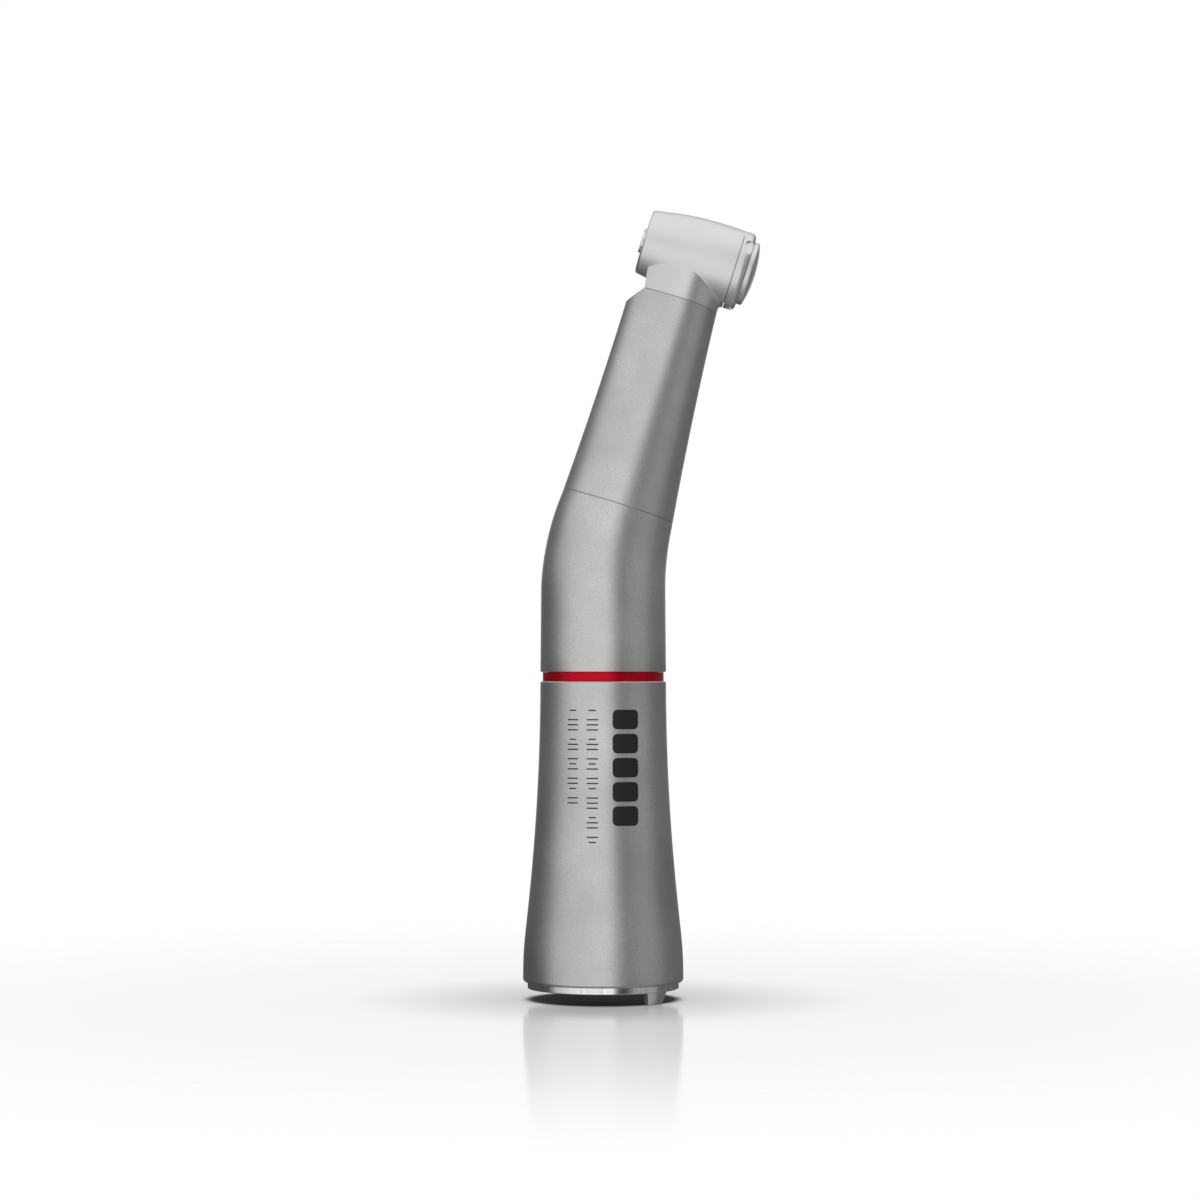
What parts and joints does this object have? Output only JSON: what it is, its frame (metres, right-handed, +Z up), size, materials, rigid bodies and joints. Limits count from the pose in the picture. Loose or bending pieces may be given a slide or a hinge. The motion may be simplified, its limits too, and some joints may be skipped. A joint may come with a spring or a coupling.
{
  "type": "contra angle handpiece",
  "caption": "Dental contra-angle handpiece with a 17.5 degree bend, red ratio ring, push-button bur chuck, inner gear train, light rod and spray lines.",
  "frame": {"origin": "centre of the rear coupling face, where the motor's collar meets the polished ring", "axes": "+Z up the grip axis towards the head, +X towards the push-button side, -X towards the bur side"},
  "size_m": [0.0296, 0.02, 0.0984],
  "materials": {
    "satin_steel": "bead-blasted stainless steel, fine even grain",
    "head_steel": "finer, paler satin stainless steel",
    "bright_steel": "polished stainless steel",
    "ratio_red": "deep red semi-gloss polymer ring",
    "optic_glass": "clear rod glass",
    "gear_steel": "hardened, ground and straw-tinted gear steel",
    "shaft_steel": "turned and ground steel",
    "cage_resin": "amber cage resin with steel balls",
    "mark_ink": "black printed marks",
    "tube_steel": "drawn stainless tube"
  },
  "bodies": {
    "root": {"grip_sleeve": "satin_steel", "rear_ring": "bright_steel", "locating_key": "bright_steel", "ratio_ring": "ratio_red", "bend_sleeve": "satin_steel", "neck_sleeve": "satin_steel", "light_window": "optic_glass", "head_housing": "head_steel", "head_cap": "head_steel", "button_spring": "bright_steel", "coupling_body": "shaft_steel", "retaining_clip": "bright_steel", "drive_housing": "shaft_steel", "mid_housing": "shaft_steel", "light_rod": "optic_glass", "water_tube": "tube_steel", "air_tube": "tube_steel", "spray_nozzles": "bright_steel", "housing_screws": "bright_steel", "drive_rear_race_outer": "bright_steel", "drive_front_race_outer": "bright_steel", "mid_rear_race_outer": "bright_steel", "mid_front_race_outer": "bright_steel", "bur_end_race_outer": "bright_steel", "button_end_race_outer": "bright_steel"},
    "drive_train": {"drive_shaft": "shaft_steel", "drive_dog": "shaft_steel", "ring_gear": "gear_steel", "drive_spacer": "shaft_steel", "drive_rear_race_inner": "bright_steel", "drive_front_race_inner": "bright_steel"},
    "mid_train": {"mid_shaft": "shaft_steel", "mid_pinion": "gear_steel", "crown_gear": "gear_steel", "mid_rear_race_inner": "bright_steel", "mid_front_race_inner": "bright_steel"},
    "spindle_unit": {"spindle": "shaft_steel", "spindle_pinion": "gear_steel", "chuck_spring": "bright_steel", "bur_end_race_inner": "bright_steel", "button_end_race_inner": "bright_steel"},
    "chuck": {"chuck_collet": "bright_steel", "chuck_drawbar": "shaft_steel"},
    "button": {"push_button": "head_steel"},
    "drive_rear_cage": {"drive_rear_balls": "cage_resin"},
    "drive_front_cage": {"drive_front_balls": "cage_resin"},
    "mid_rear_cage": {"mid_rear_balls": "cage_resin"},
    "mid_front_cage": {"mid_front_balls": "cage_resin"},
    "bur_end_cage": {"bur_end_balls": "cage_resin"},
    "button_end_cage": {"button_end_balls": "cage_resin"}
  },
  "joints": [
    {"name": "drive_spin", "type": "hinge", "parent": "root", "child": "drive_train", "pos_m": [0, 0, 0.0355], "axis": [0, 0, 1], "continuous": true},
    {"name": "mid_spin", "type": "hinge", "parent": "root", "child": "mid_train", "pos_m": [0.00301, 0, 0.06446], "axis": [0.3007, 0, 0.9537], "continuous": true},
    {"name": "spindle_spin", "type": "hinge", "parent": "root", "child": "spindle_unit", "pos_m": [0.01144, 0, 0.09121], "axis": [-0.9537, 0, 0.3007], "continuous": true},
    {"name": "button_press", "type": "slide", "parent": "root", "child": "button", "axis": [-0.9537, 0, 0.3007], "range_m": [0, 0.0004], "stiffness_N_per_m": 2000, "springref_m": -0.0002, "deforming": ["button_spring"]},
    {"name": "chuck_release", "type": "slide", "parent": "spindle_unit", "child": "chuck", "axis": [-0.9537, 0, 0.3007], "range_m": [0, 0.0002], "deforming": ["chuck_spring"]},
    {"name": "drive_rear_cage_spin", "type": "hinge", "parent": "root", "child": "drive_rear_cage", "pos_m": [0, 0, 0.0305], "axis": [0, 0, 1], "continuous": true},
    {"name": "drive_front_cage_spin", "type": "hinge", "parent": "root", "child": "drive_front_cage", "pos_m": [0, 0, 0.0397], "axis": [0, 0, 1], "continuous": true},
    {"name": "mid_rear_cage_spin", "type": "hinge", "parent": "root", "child": "mid_rear_cage", "pos_m": [-0.00164, 0, 0.04972], "axis": [0.3007, 0, 0.9537], "continuous": true},
    {"name": "mid_front_cage_spin", "type": "hinge", "parent": "root", "child": "mid_front_cage", "pos_m": [0.00943, 0, 0.08482], "axis": [0.3007, 0, 0.9537], "continuous": true},
    {"name": "bur_end_cage_spin", "type": "hinge", "parent": "root", "child": "bur_end_cage", "pos_m": [0.00669, 0, 0.09271], "axis": [-0.9537, 0, 0.3007], "continuous": true},
    {"name": "button_end_cage_spin", "type": "hinge", "parent": "root", "child": "button_end_cage", "pos_m": [0.01575, 0, 0.08985], "axis": [-0.9537, 0, 0.3007], "continuous": true}
  ],
  "couplings": [
    {"joint": "mid_spin", "follows": "drive_spin", "ratio": 3.5},
    {"joint": "spindle_spin", "follows": "drive_spin", "ratio": 5},
    {"joint": "chuck_release", "follows": "button_press", "ratio": 0.5},
    {"joint": "drive_rear_cage_spin", "follows": "drive_spin", "ratio": 0.38},
    {"joint": "drive_front_cage_spin", "follows": "drive_spin", "ratio": 0.38},
    {"joint": "mid_rear_cage_spin", "follows": "drive_spin", "ratio": 1.3},
    {"joint": "mid_front_cage_spin", "follows": "drive_spin", "ratio": 1.3},
    {"joint": "bur_end_cage_spin", "follows": "drive_spin", "ratio": 1.9751},
    {"joint": "button_end_cage_spin", "follows": "drive_spin", "ratio": 1.9751}
  ]
}
